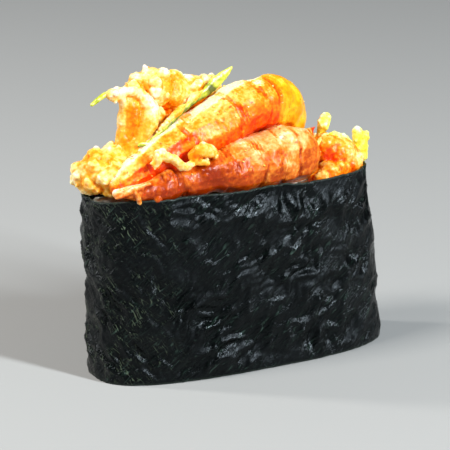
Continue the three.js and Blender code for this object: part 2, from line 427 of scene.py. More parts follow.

# %% [markdown]
# ## Fried batter
#
# Tempura batter is flour and cold water, fried for a minute. Where it lies thick it is pale cream,
# where it is thin it turns golden and the orange of the shrimp shows through. Each skin carries a
# number from 0 where the batter is thinnest to 1 where it is thickest, and painted light and shade
# are mixed into it. Ridges and the side towards the key light raise it, as painted highlight, and
# creases and shaded sides lower it, as painted shade. A second number says where a film of batter has
# fried to a clear yellow. On the upper shrimp's cap that yellow is also painted glow of light through
# the film. Light enters the batter a little way, so it gets subsurface scattering, and frying oil
# leaves a thin glossy film on top. One function makes all four finishes, because they differ only in
# their colours and in how much of the shrimp's own red shows as flecks.


# %% Fried batter materials
def fried(name, fleck_share, thin, low, middle, high, thick):
    """A fried skin coloured by one attribute, from thin to thick batter, with painted highlight and painted
    shade mixed in.
    """
    material, tree, surface = new_material(name)
    texture = add(tree, "TexCoord")
    in_mm = add(tree, "Mapping", {"Vector": texture.outputs["Object"], "Scale": IN_MM})
    place = in_mm.outputs[0]
    # This number holds the batter's thickness, with painted highlight and painted shade mixed in.
    coat_and_light = add(tree, "Attribute", attribute_name="coat_and_light")
    gold_and_glow = add(tree, "Attribute", attribute_name="gold_and_glow")
    # Clouds of 2.4 mm where the batter is denser, and a 0.6 mm mottle of single crumbs.
    clouds = add(tree, "TexNoise", {"Vector": place, "Scale": 1 / 2.4, "Detail": 3.0, "Roughness": 0.6})
    crumbs = add(tree, "TexNoise", {"Vector": place, "Scale": 1 / 0.6, "Detail": 2.0, "Roughness": 0.5})
    cloudy = add(tree, "MapRange", {"Value": clouds.outputs[0], 1: 0.3, 2: 0.7, 3: -0.15, 4: 0.15})
    crumby = add(tree, "MapRange", {"Value": crumbs.outputs[0], 1: 0.3, 2: 0.7, 3: -0.07, 4: 0.07})
    uneven = add(tree, "Math", {0: cloudy.outputs[0], 1: crumby.outputs[0]}, operation="ADD")
    depth = add(tree, "Math", {0: coat_and_light.outputs["Fac"], 1: uneven.outputs[0]}, operation="ADD",
                use_clamp=True)
    ramp = add(tree, "ValToRGB", {0: depth.outputs[0]})
    set_ramp(ramp, (0.0, thin), (0.25, low), (0.48, middle), (0.72, high), (0.95, thick))
    # The clear yellow film, where the second attribute is high: partly its own colour and partly painted
    # glow of light through the film.
    film = add(tree, "ValToRGB", {0: clouds.outputs[0]})
    set_ramp(film, (0.36, "E48E0A"), (0.5, "F2AE0E"), (0.64, "F8C42A"))
    golden = add(tree, "Mix", {0: gold_and_glow.outputs["Fac"], 6: ramp.outputs[0], 7: film.outputs[0]},
                 data_type="RGBA")
    # Red flecks of the shrimp's own skin, under a millimetre, that show through thin batter.
    flecks = add(tree, "TexNoise", {"Vector": place, "Scale": 1 / 0.9, "Detail": 1.0})
    fleck = add(tree, "MapRange", {"Value": flecks.outputs[0], 1: 0.66, 2: 0.74, 3: 0.0, 4: fleck_share})
    skin_colour = add(tree, "Mix", {0: fleck.outputs[0], 6: golden.outputs[2], 7: colour("D23604")},
                      data_type="RGBA")
    # Thin batter is oilier and shines more.
    gloss = add(tree, "MapRange", {"Value": depth.outputs[0], 3: 0.28, 4: 0.44})
    # The crust's own crumb, 0.35 mm across.
    grain = add(tree, "TexNoise", {"Vector": place, "Scale": 1 / 0.35, "Detail": 3.0, "Roughness": 0.6})
    bump = add(tree, "Bump", {"Height": grain.outputs[0], "Strength": 0.35, "Distance": 0.00012})
    skin = add(tree, "BsdfPrincipled", {
        "Base Color": skin_colour.outputs[2],
        "Roughness": gloss.outputs[0],
        "Normal": bump.outputs[0],
        "IOR": 1.45,
        "Subsurface Weight": 0.4,
        "Subsurface Radius": (1.0, 0.45, 0.12),
        "Subsurface Scale": 1.6 * MM,
        "Specular IOR Level": 0.22,
        "Coat Weight": 0.06,
        "Coat Roughness": 0.14,
    })
    tree.links.new(skin.outputs[0], surface)
    return material


# Pink-orange shrimp shows through a thin crust: warm orange, with cream where crests and lit sides are
# painted paler as painted highlight.
shrimp_skin = fried("thin_tempura_batter_on_shrimp", 0.7, "DA3400", "F26604", "F69014", "F9C464", "FAE6BC")
# Oil has soaked the crust of the front shrimp, so its low parts are a deep brick red; in its creases and on
# its shaded side that red is painted shade.
flesh_skin = fried("oily_thin_batter_on_shrimp", 0.6, "942A00", "BC4A06", "E27C22", "F2B068", "FAE4C4")
# Thick crust fried crisp and matt: straw yellow, almost no red, and golden in the creases, where the gold
# is painted shade.
batter_skin = fried("crisp_tempura_batter", 0.15, "EC6E00", "F2900A", "F4AE34", "F8CE7C", "F9E6C0")
# Threads of batter with nothing inside: a clear greenish yellow.
sprig_skin = fried("lean_yellow_batter", 0.0, "C08A18", "D8BC2C", "E8D846", "EEE67C", "F6F2BE")
print("four fried materials")

# %% [markdown]
# ## The two long shrimp
#
# A peeled shrimp tapers from its cut neck to its tail, and its shell segments leave soft rings in
# the flesh. The batter on it is thin. It is painted pale along the top and on the side towards the key
# light, as painted highlight, and orange underneath, as painted shade. A string of beads gives the
# taper and the bend, and the rings are grooves at set shares of the length, bent a little by noise so
# that none is a clean circle.


# %% Relief of thin batter
def thin_batter(place):
    """Wrinkles and small blisters of thin batter, in mm."""
    swell = 0.7 * noise.noise(place / 5.5) + 0.3 * noise.noise(place / 2.6)
    wrinkle = 0.1 * (0.5 - abs(noise.noise(place / 1.5)))
    cell = noise.voronoi(place / 1.2)[0][0]
    return swell + wrinkle + 0.1 * max(0.0, 0.6 - cell) + 0.04 * noise.noise(place / 0.5)


def rings(piece, along, shares, width=0.014):
    """1 in each segment groove and 0 between them."""
    bend = 0.06 * swells(piece, 5)
    broken = 0.5 + swells(piece, 3)
    depth = np.zeros(len(along))
    for share in shares:
        depth = np.maximum(depth, np.exp(-((along + bend - share) / width) ** 2))
    return depth * np.clip(broken, 0, 1)


LIT_SIDE = (-0.5, 0.25, 0.83)  # pieces are painted paler where they face this way, up and left towards the key: painted light
print("thin batter at the origin stands out", round(thin_batter(Vector((0, 0, 0))), 2), "mm")

# %% [markdown]
# The upper shrimp rises to the right and curls over, and its last segment is bare of crust and fried
# to a clear gold, which on its outer side is also painted glow of light through the film. The line of
# beads follows the bend, and a deep seam divides the two parts. Near the thin end, the side turned
# away from the key light is painted redder, as painted shade.

# %% Upper shrimp
SEAM_SHARE = 0.72  # of the length, where the golden cap begins
line = smooth_line(stations(
    "shrimp_upper",
    (0.00, 0.12, 0.03, 1.7), (0.11, 0.20, 0.14, 3.0), (0.32, 0.33, 0.36, 4.1), (0.57, 0.42, 0.57, 4.9),
    (0.72, 0.50, 0.67, 5.1), (0.86, 0.66, 0.60, 4.7), (0.93, 0.82, 0.38, 3.7),
), 70)
shape = bmesh.new()
add_string(shape, line)
upper = fuse("upper_shrimp", shape, soften=10)
along = along_line(upper, line)
grooves = rings(upper, along, (0.2, 0.36, 0.52, 0.66))
seam = np.exp(-((along + 0.03 * swells(upper, 3) - SEAM_SHARE) / 0.02) ** 2)
push(upper, sample(upper, thin_batter) - 0.4 * grooves - 0.4 * seam)
cloud = swells(upper, 4)
cap = smooth_share(along, 0.7, 0.76)
lit = facing(upper, LIT_SIDE)
# Painted highlight: the crest that faces the key light is painted paler still.
crest = smooth_share(lit, 0.7, 0.95)
# Painted shade: near the thin end, the side turned away from the key light is painted redder.
bare = (1 - smooth_share(along, 0.3, 0.5)) * (1 - smooth_share(lit, -0.25, 0.4))
# Ridges and the lit side raise the number, as painted highlight, and creases and the shaded side lower it,
# as painted shade. Grooves, seam and clouds are the batter's own.
keep(upper, "coat_and_light", 0.34 + 0.22 * ridges(upper) + 0.36 * lit + 0.3 * crest + 0.2 * cloud
     - 0.35 * grooves - 0.8 * seam - 0.3 * bare)
# Painted glow: the cap's clear yellow is partly the film's own colour and partly light shining through it,
# so it is painted only on the side that faces out.
glow_side = smooth_share(facing(upper, (0.55, -0.6, 0.6)), -0.25, 0.25)
keep(upper, "gold_and_glow", cap * glow_side * np.clip(0.85 + 0.5 * cloud, 0, 1))
hand_over(upper, "fried_shrimp", shrimp_skin, "shrimp_upper")

# %% [markdown]
# The front shrimp lies along the rim. It is thin and oily at the left, where it ends in its folded
# tail fin, and thick at the right, where a flap of batter overlaps the end. The fin is two short
# strings of small beads, and knobs of batter stick to the thin half.

# %% Front shrimp
line = smooth_line(stations(
    "shrimp_front",
    (0.01, 0.24, 0.36, 0.9), (0.21, 0.30, 0.34, 2.1), (0.41, 0.36, 0.40, 3.1),
    (0.61, 0.44, 0.45, 4.7), (0.77, 0.48, 0.49, 5.5), (0.88, 0.52, 0.47, 5.2),
), 70)
shape = bmesh.new()
add_string(shape, line)
dice = random.Random(2)
for x, y, z, radius in line[6:42:2]:
    add_knobs(shape, (x, y, z), radius, 3, (0.35, 0.7), dice)
for row in (  # the fin's two streaks
    ((0.0, 0.19, 0.30, 0.3), (0.04, 0.16, 0.35, 0.45), (0.08, 0.15, 0.41, 0.5), (0.15, 0.17, 0.46, 0.6)),
    ((0.07, 0.13, 0.44, 0.35), (0.09, 0.12, 0.32, 0.4), (0.10, 0.13, 0.2, 0.25)),
):
    add_string(shape, smooth_line(stations("shrimp_front", *row), 18))
front = fuse("front_shrimp", shape, soften=5)
along = along_line(front, line)
grooves = rings(front, along, (0.3, 0.5, 0.67, 0.8))
flap = rings(front, along, (0.93,), width=0.02)
push(front, sample(front, thin_batter) - 0.4 * grooves - 0.5 * flap)
cloud = swells(front, 4)
bare = 1 - smooth_share(along, 0.45, 0.65)
# Ridges and the side towards the key light are painted paler, as painted highlight, and creases darker, as
# painted shade. The oily left half, the grooves, the flap and the pale fin are its own colour.
keep(front, "coat_and_light", 0.41 + 0.3 * ridges(front) + 0.35 * facing(front, LIT_SIDE) + 0.25 * cloud
     - 0.25 * grooves - 0.5 * flap - 0.27 * bare + 0.12 * smooth_share(along, 0.7, 0.9)
     + 0.45 * (1 - smooth_share(along, 0.04, 0.16)))
keep(front, "gold_and_glow", np.zeros(len(along)))
hand_over(front, "fried_shrimp", flesh_skin, "shrimp_front")

# %% [markdown]
# A third shrimp lies behind and carries the pieces on top. Only its tail's red tip shows from the
# front, so it gets the same shape and finish as the others, with the tail left bare.

# %% Back shrimp
line = smooth_line(stations(
    "shrimp_back",
    (0.985, 0.45, 0.71, 0.3), (0.96, 0.47, 0.63, 0.9), (0.91, 0.49, 0.46, 2.6), (0.70, 0.49, 0.48, 4.4),
    (0.43, 0.49, 0.50, 4.6), (0.18, 0.45, 0.46, 4.0), (0.02, 0.39, 0.38, 2.5),
), 70)
shape = bmesh.new()
add_string(shape, line)
back = fuse("back_shrimp", shape, soften=10)
along = along_line(back, line)
grooves = rings(back, along, (0.15, 0.3, 0.46, 0.62, 0.8))
push(back, sample(back, thin_batter) - 0.4 * grooves)
cloud = swells(back, 4)
tail = 1 - smooth_share(along, 0.05, 0.15)
# Ridges and the side towards the key light are painted paler, as painted highlight, and creases darker, as
# painted shade. The red tail is its own colour.
keep(back, "coat_and_light", 0.5 + 0.3 * ridges(back) + 0.35 * facing(back, LIT_SIDE) + 0.25 * cloud
     - 0.3 * grooves - 0.8 * tail)
keep(back, "gold_and_glow", np.zeros(len(along)))
hand_over(back, "fried_shrimp", shrimp_skin, "shrimp_back")

# %% [markdown]
# ## Lumps, curls and drips of batter
#
# Batter that drips off in hot oil puffs up in crisp knobs around whatever it hangs on. These pieces
# are balls with many smaller beads stuck on, fused, and roughened more than the shrimp. Their batter
# number is painted high on the crags and low between them, painted highlight and painted shade that
# give pale tops and golden creases, and it is painted higher on the side towards the key light.


# %% Relief of crisp batter
def crisp_batter(place):
    """Craggy crust of thick batter, in mm."""
    swell = 0.45 * noise.noise(place / 2.8) + 0.3 * noise.noise(place / 1.4)
    crag = 0.2 * (0.5 - abs(noise.noise(place / 0.9)))
    return swell + crag + 0.1 * noise.noise(place / 0.5)


def finish_crisp(piece, *nodes, material=batter_skin, base=0.5, slot="batter", extra=0.0, rough=1.0):
    """The relief, the colour attributes and the hand-over that all crisp pieces share."""
    push(piece, rough * sample(piece, crisp_batter))
    cloud = swells(piece, 3.5)
    # Painted highlight on the crags and on the side towards the key light, and painted shade in the creases
    # between the crags.
    crag_light_and_crease_shade = 0.18 * ridges(piece) + 0.55 * ridges(piece, 45, 0.7)
    keep(piece, "coat_and_light", base + crag_light_and_crease_shade + 0.15 * facing(piece, LIT_SIDE) + 0.45 * cloud + extra)
    keep(piece, "gold_and_glow", np.zeros(len(piece.data.vertices)))
    hand_over(piece, slot, material, *nodes)


def knobbly(node, points, count, sizes, seed, reach=0.95):
    """Balls at stations of a node's box with knobs all over, still to be fused."""
    shape = bmesh.new()
    dice = random.Random(seed)
    for x, y, z, radius in stations(node, *points):
        add_bead(shape, (x, y, z), radius)
        add_knobs(shape, (x, y, z), radius, count, sizes, dice, reach)
    return shape


print("crisp batter at the origin stands out", round(crisp_batter(Vector((0, 0, 0))), 2), "mm")

# %% [markdown]
# The left lump hangs over the rim. Five balls with knobs make it, and one thread of batter that ran
# off and set as a thorn is a string of ever smaller beads.

# %% Left lump
shape = knobbly("lump_left", [
    (0.38, 0.44, 0.56, 3.8), (0.68, 0.50, 0.66, 3.3), (0.24, 0.52, 0.44, 3.0),
    (0.46, 0.28, 0.50, 2.6), (0.60, 0.76, 0.31, 2.6),
], 16, (0.9, 1.6), 3, reach=0.82)
thorn = smooth_line(stations("lump_left", (0.1, 0.46, 0.4, 0.8), (-0.04, 0.46, 0.34, 0.25)), 8)
add_string(shape, thorn)
finish_crisp(fuse("left_lump", shape, soften=4), "lump_left", base=0.46)

# %% [markdown]
# The top lump is a long battered chunk that lies crosswise behind the stem, with a small spike. Its
# foot is painted darker orange, as painted shade low in the heap: the batter number falls there.

# %% Top lump
shape = knobbly("lump_top", [
    (0.10, 0.45, 0.62, 2.3), (0.26, 0.46, 0.60, 3.7), (0.45, 0.51, 0.50, 3.6), (0.66, 0.55, 0.43, 3.5),
    (0.86, 0.60, 0.41, 2.7), (0.44, 0.40, 0.16, 2.0), (0.22, 0.34, 0.18, 1.9), (0.70, 0.45, 0.24, 2.0),
    (0.88, 0.47, 0.36, 2.0),
], 14, (0.8, 1.4), 5, reach=0.85)
spike = smooth_line(stations("lump_top", (0.22, 0.47, 0.66, 1.6), (0.19, 0.47, 0.83, 0.8),
                             (0.17, 0.47, 0.98, 0.25)), 14)
add_string(shape, spike)
top_lump = fuse("top_lump", shape, soften=4)
low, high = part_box("lump_top")
places = (read(top_lump.data, "co") - np.array(low)) / np.array(high - low)
# Painted shade at the foot, stronger towards the right end.
foot = 1 - smooth_share(places[:, 2], 0.25, 0.5)
foot = foot * (0.5 + 0.5 * smooth_share(places[:, 0], 0.6, 0.8))
finish_crisp(top_lump, "lump_top", base=0.52, extra=-0.7 * foot)

# %% [markdown]
# Two more lumps fill the back of the heap and carry what lies on top. They are made alike, and the
# right one stays inside the nori.

# %% Back and right lumps
shape = knobbly("lump_back", [
    (0.17, 0.42, 0.43, 3.7), (0.34, 0.52, 0.52, 3.2), (0.5, 0.45, 0.46, 3.8), (0.66, 0.55, 0.5, 3.3),
    (0.83, 0.5, 0.36, 3.7),
], 14, (0.8, 1.6), 7, reach=0.85)
finish_crisp(fuse("back_lump", shape, soften=4), "lump_back")
shape = knobbly("lump_right", [
    (0.36, 0.49, 0.55, 3.3), (0.6, 0.34, 0.42, 2.3),
], 16, (0.7, 1.1), 9, reach=0.85)
finish_crisp(fuse("right_lump", shape, soften=4), "lump_right")

# %% [markdown]
# The chunk at the right end is shrimp under a bubbly crust, smoother than the lumps, so its knobs
# are fewer and softened longer. Its side in the front shrimp's shade is painted darker and redder, as
# painted shade.

# %% Right chunk of shrimp
shape = knobbly("shrimp_right", [
    (0.34, 0.53, 0.72, 3.0), (0.49, 0.47, 0.60, 3.4), (0.62, 0.47, 0.44, 3.2), (0.41, 0.41, 0.36, 3.2),
    (0.76, 0.58, 0.29, 2.0), (0.12, 0.2, 0.24, 1.9), (0.27, 0.24, 0.34, 2.2),
], 8, (0.7, 1.3), 11, reach=0.75)
chunk = fuse("right_chunk", shape, soften=6)
# Painted shade on the side that faces left, to the front and a little down.
shaded = smooth_share(facing(chunk, (-0.85, -0.5, -0.2)), 0.2, 0.9)
finish_crisp(chunk, "shrimp_right", material=shrimp_skin, base=0.44, slot="fried_shrimp",
             extra=-0.28 * shaded, rough=0.7)

# %% [markdown]
# A sheet of batter curled up as it fried and stands behind the left lump: two thick sides, a thinner
# hollow between them that fried darker, and a knob at the tip. Three strings of beads give the sides
# and the hollow, and the gaps to those strings tell the material where the hollow is.

# %% Left curl
left_side = smooth_line(stations(
    "curl_left",
    (0.37, 0.47, 0.10, 2.3), (0.29, 0.47, 0.33, 1.2), (0.28, 0.47, 0.55, 0.85), (0.31, 0.43, 0.74, 0.8),
    (0.23, 0.47, 0.86, 0.9), (0.06, 0.47, 0.89, 1.2),
), 26)
right_side = smooth_line(stations(
    "curl_left",
    (0.51, 0.35, 0.13, 2.2), (0.68, 0.28, 0.33, 1.7), (0.86, 0.28, 0.51, 1.9), (0.89, 0.35, 0.68, 1.7),
    (0.73, 0.47, 0.84, 1.2), (0.44, 0.47, 0.92, 0.9), (0.20, 0.47, 0.90, 1.0),
), 30)
hollow_line = smooth_line(stations(
    "curl_left", (0.48, 0.50, 0.17, 1.9), (0.51, 0.54, 0.43, 2.0), (0.54, 0.56, 0.64, 2.0),
    (0.44, 0.56, 0.78, 1.3),
), 24)
shape = bmesh.new()
for row in (left_side, right_side, hollow_line):
    add_string(shape, row)
dice = random.Random(13)
knob = stations("curl_left", (0.08, 0.47, 0.89, 1.2))[0]
add_knobs(shape, knob, 1.2, 8, (0.4, 0.7), dice)
curl = fuse("left_curl", shape, soften=2)
side_gap = np.minimum(gap_to(curl, left_side), gap_to(curl, right_side))
hollow = smooth_share(side_gap - gap_to(curl, hollow_line), 0.0, 0.9)
height = smooth_share(read(curl.data, "co")[:, 2] / MM, 40, 47)
finish_crisp(curl, "curl_left", base=0.46, extra=-(0.08 + 0.26 * height) * hollow, rough=0.6)

# %% [markdown]
# Batter dripped between the two long shrimp and set as a ruffle that ends in a blister. The ruffle is
# a wavy string with knobs, and the blister a few larger beads with a thinner, more golden skin.

# %% Drip between the shrimp
shape = bmesh.new()
dice = random.Random(17)
drip = smooth_line(stations(
    "batter_drip",
    (0.02, 0.51, 0.42, 0.7), (0.12, 0.51, 0.72, 0.8), (0.26, 0.51, 0.60, 0.65), (0.38, 0.41, 0.44, 0.8),
    (0.50, 0.36, 0.20, 0.6), (0.64, 0.36, 0.29, 0.5), (0.77, 0.30, 0.32, 0.6), (0.89, 0.25, 0.23, 0.4),
), 36)
add_string(shape, drip)
for x, y, z, radius in drip[::3]:
    add_knobs(shape, (x, y, z), radius, 2, (0.3, 0.55), dice)
blister = smooth_line(stations(
    "batter_drip",
    (0.66, 0.50, 0.56, 0.9), (0.78, 0.46, 0.72, 1.3), (0.92, 0.50, 0.68, 1.2), (1.03, 0.56, 0.50, 0.8),
), 8)
for x, y, z, radius in blister:
    add_bead(shape, (x, y, z), radius)
    add_knobs(shape, (x, y, z), radius, 1, (0.4, 0.6), dice)
crust = fuse("drip_crust", shape, voxel=0.16, soften=2)
on_blister = 1 - smooth_share(gap_to(crust, blister), 0, 0.5)
finish_crisp(crust, "batter_drip", base=0.44, extra=-0.22 * on_blister, rough=0.7)

# %% [markdown]
# Two sprigs of set batter stand up at the right end. They are thin strings with small knobs, fused
# with a finer voxel so that they keep their shape.

# %% Sprigs
FINE_VOXEL = 0.16  # mm
shape = bmesh.new()
dice = random.Random(19)
sprig = smooth_line(stations(
    "sprig_left",
    (-0.13, 0.36, 0.06, 1.1), (0.08, 0.45, 0.34, 0.85), (0.24, 0.45, 0.61, 1.05), (0.44, 0.45, 0.80, 0.95),
    (0.57, 0.45, 0.93, 0.6),
), 20)
add_string(shape, sprig)
for x, y, z, radius in sprig[::2]:
    add_knobs(shape, (x, y, z), radius, 2, (0.3, 0.5), dice)
left_sprig = fuse("left_sprig", shape, voxel=FINE_VOXEL, soften=2)
finish_crisp(left_sprig, "sprig_left", material=sprig_skin, rough=0.6)
shape = bmesh.new()
for row in (
    ((0.80, 0.45, 0.12, 1.5), (0.72, 0.5, 0.36, 1.25), (0.68, 0.51, 0.58, 1.05), (0.66, 0.51, 0.84, 0.9)),
    ((0.82, 0.48, 0.30, 1.5), (0.94, 0.51, 0.50, 1.1), (1.04, 0.51, 0.70, 0.85)),
):
    column = smooth_line(stations("sprig_right", *row), 12)
    add_string(shape, column)
    for x, y, z, radius in column[::2]:
        add_knobs(shape, (x, y, z), radius, 2, (0.3, 0.55), dice)
right_sprig = fuse("right_sprig", shape, voxel=FINE_VOXEL, soften=2)
finish_crisp(right_sprig, "sprig_right", material=sprig_skin, rough=0.6)

# %% [markdown]
# A low ridge of the same batter joins the sprigs over the top of the chunk. Its line is given in the
# box of the right sprig, where it ends, and the same dice go on for its knobs.

# %% Ridge between the sprigs
shape = bmesh.new()
ridge = smooth_line(stations(
    "sprig_right",
    (-2.26, -0.35, 0.76, 0.7), (-1.77, -0.25, 0.93, 0.7), (-1.08, -0.12, 0.95, 0.7),
    (-0.35, 0.06, 0.74, 0.7), (0.26, 0.33, 0.34, 0.7), (0.71, 0.45, 0.12, 0.9),
), 40)
add_string(shape, ridge)
for x, y, z, radius in ridge[::4]:
    add_knobs(shape, (x, y, z), radius, 1, (0.25, 0.45), dice)
finish_crisp(fuse("sprig_ridge", shape, voxel=FINE_VOXEL, soften=2), material=sprig_skin)

# %% [markdown]
# ## Crumbs
#
# Frying throws off specks of batter that settle on everything and stick. They are crisp, pale and
# under a millimetre, so each is a small squashed bead, turned at random and set on the skins that
# look upwards. All the crumbs together are one piece.

# %% Crumbs
CRUMB_COUNT = 150
CRUMB_RADII = (0.1, 0.24)  # mm
CRUMB_SHAPE = (1.5, 1.0, 0.7, 1)  # how much it is stretched and flattened
CRUMB_LIFT = 0.3  # share of its radius that its middle stands above the skin
LOOKING_UP = 0.15  # the least rise of a face's normal that a crumb stays on
dice = random.Random(31)
hosts = [upper, front, back, curl, top_lump]
seats = [(host, face) for host in hosts for face in host.data.polygons if face.normal.z > LOOKING_UP]
crumbs = bmesh.new()
for _ in range(CRUMB_COUNT):
    host, face = dice.choice(seats)
    size = dice.uniform(*CRUMB_RADII)
    turn = Matrix.Rotation(dice.uniform(0, math.pi), 4, "Z") @ Matrix.Rotation(dice.uniform(0, 1.5), 4, "X")
    place = (Matrix.Translation(face.center + face.normal * size * CRUMB_LIFT * MM) @ turn
             @ Matrix.Diagonal(CRUMB_SHAPE))
    bmesh.ops.create_icosphere(crumbs, subdivisions=1, radius=size * MM, matrix=place)
crumb_piece = new_piece("batter_crumbs", crumbs)
keep(crumb_piece, "coat_and_light", 0.6 + 0.3 * swells(crumb_piece, 1.5))
keep(crumb_piece, "gold_and_glow", np.zeros(len(crumb_piece.data.vertices)))
hand_over(crumb_piece, "batter", batter_skin)

# %% [markdown]
# ## Green stems
#
# A stem of trefoil herb was fried with the shrimp. It is yellow-green with darker streaks, and its
# leaf has folded to a narrow point. Its skin is wet with oil, so it shines more than the batter. A
# number says how dark each point is: dark at the leaf's foot, and dark on the underside as painted
# shade.

# %% Stem material
stem_skin, tree, surface = new_material("fried_herb_stem")
texture = add(tree, "TexCoord")
in_mm = add(tree, "Mapping", {"Vector": texture.outputs["Object"], "Scale": IN_MM})
# Blotches of about a millimetre, darker and lighter.
mottle = add(tree, "TexNoise", {"Vector": in_mm.outputs[0], "Scale": 1 / 1.1, "Detail": 4.0})
green_and_shade = add(tree, "Attribute", attribute_name="green_and_shade")
uneven = add(tree, "MapRange", {"Value": mottle.outputs[0], 1: 0.3, 2: 0.7, 3: -0.25, 4: 0.25})
depth = add(tree, "Math", {0: green_and_shade.outputs["Fac"], 1: uneven.outputs[0]}, operation="ADD", use_clamp=True)
ramp = add(tree, "ValToRGB", {0: depth.outputs[0]})
set_ramp(ramp, (0.1, "DCDA70"), (0.35, "B8C028"), (0.6, "92981E"), (0.9, "4E540E"))
stem = add(tree, "BsdfPrincipled", {
    "Base Color": ramp.outputs[0], "Roughness": 0.38, "Subsurface Weight": 0.25,
    "Subsurface Radius": (0.6, 1.0, 0.2), "Subsurface Scale": 0.6 * MM, "Coat Weight": 0.3,
    "Coat Roughness": 0.2,
})
tree.links.new(stem.outputs[0], surface)
print("stem material:", len(tree.nodes), "nodes")

# %% [markdown]
# The long stem crosses the heap from the left curl to the leaf's tip at the upper right. Its beads
# are flattened, so that the fused skin is a strap like the real stem, wider at the folded leaf. The
# thin one sticks out at the left. Both are fused with the finest voxel of all.

# %% Stems
STEM_VOXEL = 0.12  # mm
stalk = smooth_line(stations(
    "stem_long",
    (0.0, 0.12, 0.0, 0.45), (0.10, 0.12, 0.03, 0.5), (0.31, 0.24, 0.27, 0.5), (0.46, 0.43, 0.42, 0.5),
    (0.60, 0.60, 0.54, 0.6), (0.72, 0.73, 0.63, 0.8), (0.81, 0.82, 0.73, 1.1), (0.91, 0.87, 0.84, 0.9),
    (1.0, 0.89, 0.96, 0.3),
), 110)
shape = bmesh.new()
add_string(shape, stalk, squash=(1, 0.5, 1))
long_stem = fuse("long_stem", shape, voxel=STEM_VOXEL, soften=2)
push(long_stem, 0.08 * swells(long_stem, 0.8))
along = along_line(long_stem, stalk)
# Painted shade: the long stem's underside, turned down and to the right, is painted dark olive, except on
# the leaf.
shaded_underside = smooth_share(facing(long_stem, (0.6, -0.2, -0.75)), -0.4, 0.7)
leaf_foot = np.exp(-((along - 0.69) / 0.035) ** 2)
keep(long_stem, "green_and_shade", 0.3 + 0.5 * shaded_underside * (1 - smooth_share(along, 0.7, 0.8)) + 0.4 * leaf_foot)
hand_over(long_stem, "green_stem", stem_skin, "stem_long")
shape = bmesh.new()
add_string(shape, smooth_line(stations(
    "stem_thin", (0.03, 0.25, 0.14, 0.35), (0.49, 0.47, 0.64, 0.5), (1.0, 0.71, 0.8, 0.5),
), 40))
thin_stem = fuse("thin_stem", shape, voxel=STEM_VOXEL, soften=2)
push(thin_stem, 0.08 * swells(thin_stem, 0.8))
keep(thin_stem, "green_and_shade", np.full(len(thin_stem.data.vertices), 0.3))
hand_over(thin_stem, "green_stem", stem_skin, "stem_thin")

# %% [markdown]
# A crust of batter clings to the middle of the long stem, thick and thin by turns. A noise along the
# stem sets how big each bead is, and the crust sits a little to one side.

# %% Batter on the stem
SLEEVE_OFFSET = Vector((-0.45, 0.1, 0.35))  # mm, so that green shows along the lower edge
KNOB_CHANCE = 0.4
shape = bmesh.new()
dice = random.Random(29)
for x, y, z, radius in stalk[20:70:2]:
    centre = Vector((x, y, z)) + SLEEVE_OFFSET
    swelling = 0.5 + 0.5 * noise.noise(Vector((x / 2.2, 3, 0)))
    add_bead(shape, centre, swelling)
    if dice.random() < KNOB_CHANCE:
        add_knobs(shape, centre, swelling, 1, (0.25, 0.45), dice)
finish_crisp(fuse("stem_batter", shape, voxel=0.14, soften=2), base=0.42, rough=0.5)

# %% [markdown]
# ## The nori band
#
# Nori is shredded seaweed dried to a thin sheet and toasted. A strip of it, 33 mm wide, is rolled
# round the rice and overlaps itself at the back. It starts here as a flat grid, one square for each
# third of a millimetre, and a formula rolls it along a rounded oblong. Damp rice makes the sheet
# pucker, so it gets real relief: swells where rice presses, then sharp slanting wrinkles.

# %% The band's plan
PLAN_POWER = 2.75  # of the superellipse: 2 is an ellipse, more is squarer
TOP_SCALE = 0.961  # the rim is this much smaller than the foot
LAP_START = 0.32  # share of the way round from +X where the strip begins
LAP_SHARE = 0.1  # how far the strip runs on over its beginning
LAP_STEP = 0.7  # mm between the faces of the two laps
band_low, band_high = (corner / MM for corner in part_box("nori_band"))
HALF_LENGTH = band_high.x
HALF_WIDTH = -band_low.y
HEIGHT = 33  # mm, the strip's width
LEAN = band_low.x + HALF_LENGTH * TOP_SCALE  # how far the rim leans towards -X
SHEET = 0.25  # mm, the thickness
WRINKLE_ROOM = 0.3  # mm that the plan is drawn in by, so that crests stay by the solid's face
LAP_OUT = LAP_STEP * 0.35  # mm that both laps move out, so that the rice keeps its room

angles = np.linspace(0, 2 * np.pi, 4001)


def superellipse(angle):
    """Points of the band's outside in plan, in mm."""
    along_x, along_y = np.cos(angle), np.sin(angle)
    x = (HALF_LENGTH - WRINKLE_ROOM) * np.sign(along_x) * np.abs(along_x) ** (2 / PLAN_POWER)
    y = (HALF_WIDTH - WRINKLE_ROOM) * np.sign(along_y) * np.abs(along_y) ** (2 / PLAN_POWER)
    return np.stack([x, y], axis=-1)


steps = np.linalg.norm(np.diff(superellipse(angles), axis=0), axis=1)
lengths = np.concatenate([[0], np.cumsum(steps)])
PERIMETER = lengths[-1]
STRIP = PERIMETER * (1 + LAP_SHARE)
print("strip", round(STRIP, 1), "mm long,", HEIGHT, "mm wide")


def roll(along_mm, up_mm, offset=0.0):
    """The place in mm of points of the strip, along_mm from its start and up_mm from its foot."""
    share = along_mm / PERIMETER
    angle = np.interp((LAP_START + share) % 1 * PERIMETER, lengths, angles)
    lap = -LAP_STEP * (1 - smooth_share(share, 1 - LAP_SHARE, 1))
    plan = superellipse(angle)
    outward = plan / np.array([HALF_LENGTH ** 2, HALF_WIDTH ** 2])
    outward = outward / np.linalg.norm(outward, axis=-1, keepdims=True)
    plan = plan + outward * (lap + LAP_OUT + offset)[..., None]
    rise = up_mm / HEIGHT
    scale = 1 + (TOP_SCALE - 1) * rise
    return np.stack([plan[..., 0] * scale + LEAN * rise, plan[..., 1] * scale, up_mm], axis=-1)


